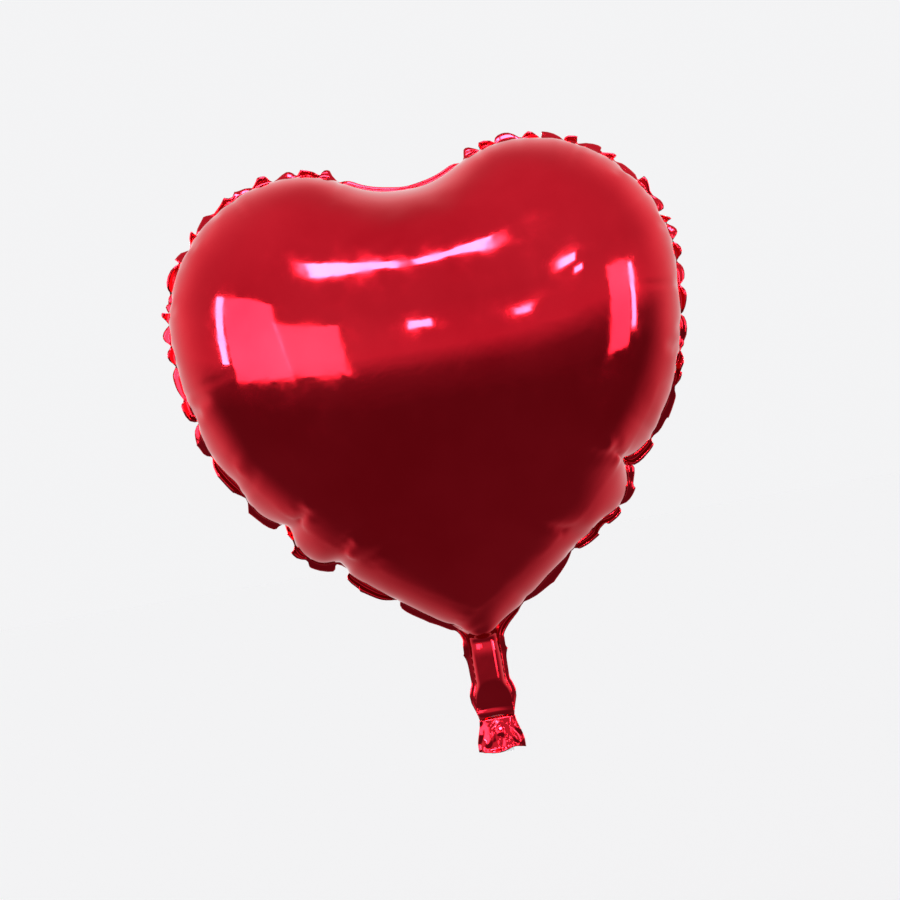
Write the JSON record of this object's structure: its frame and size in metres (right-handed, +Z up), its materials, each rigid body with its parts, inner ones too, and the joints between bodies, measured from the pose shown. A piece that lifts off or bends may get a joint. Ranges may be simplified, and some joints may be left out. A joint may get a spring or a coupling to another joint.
{
  "type": "foil balloon",
  "caption": "Inflated heart-shaped foil balloon: two domed foil films welded round a scalloped rim, with a bending neck, a self-sealing valve and an open, folding tail end.",
  "frame": {"origin": "middle of the neck's root, under the heart's point, where the ribbon is tied and the neck bends", "axes": "+Z up through the heart, -Y out of the front panel, +X to the right seen from the front"},
  "size_m": [0.372, 0.1902, 0.4284],
  "materials": {
    "crimson_foil": "mirror-bright crimson metallised film, silver inside",
    "weld_sealant": "clear polyethylene sealant seen through red film",
    "clear_film": "clear glossy polyethylene film",
    "release_coat": "thin heat-resistant ink, matt"
  },
  "bodies": {
    "envelope": {"front_panel": "crimson_foil", "back_panel": "crimson_foil", "perimeter_seal": "weld_sealant", "root_front_film": "crimson_foil", "root_back_film": "crimson_foil", "root_side_seals": "weld_sealant"},
    "neck": {"neck_front_film": "crimson_foil", "neck_back_film": "crimson_foil", "neck_side_seals": "weld_sealant", "cross_seals": "weld_sealant", "valve_front_weld": "clear_film", "valve_back_weld": "clear_film", "release_coat": "release_coat"},
    "front_lip": {"valve_front_lip": "clear_film"},
    "back_lip": {"valve_back_lip": "clear_film"},
    "tail_end": {"tail_front_film": "crimson_foil", "tail_back_film": "crimson_foil", "tail_seals": "weld_sealant", "valve_front_inlet": "clear_film", "valve_back_inlet": "clear_film"}
  },
  "joints": [
    {"name": "neck_bend", "type": "hinge", "parent": "envelope", "child": "neck", "pos_m": [0, 0, 0], "axis": [1, 0, 0], "range_deg": [-45, 45], "stiffness_Nm_per_rad": 0.02, "deforming": ["root_front_film", "root_back_film", "root_side_seals"]},
    {"name": "tail_end_fold", "type": "hinge", "parent": "neck", "child": "tail_end", "pos_m": [0, 0, -0.0584], "axis": [1, 0, 0], "range_deg": [-90, 90]},
    {"name": "front_lip_open", "type": "hinge", "parent": "neck", "child": "front_lip", "pos_m": [0, -0.0003, -0.0515], "axis": [1, 0, 0], "range_deg": [0, 6], "stiffness_Nm_per_rad": 0.001},
    {"name": "back_lip_open", "type": "hinge", "parent": "neck", "child": "back_lip", "pos_m": [0, 0.0003, -0.0515], "axis": [1, 0, 0], "range_deg": [-6, 0], "stiffness_Nm_per_rad": 0.001}
  ],
  "couplings": [
    {"joint": "back_lip_open", "follows": "front_lip_open", "ratio": -1}
  ]
}
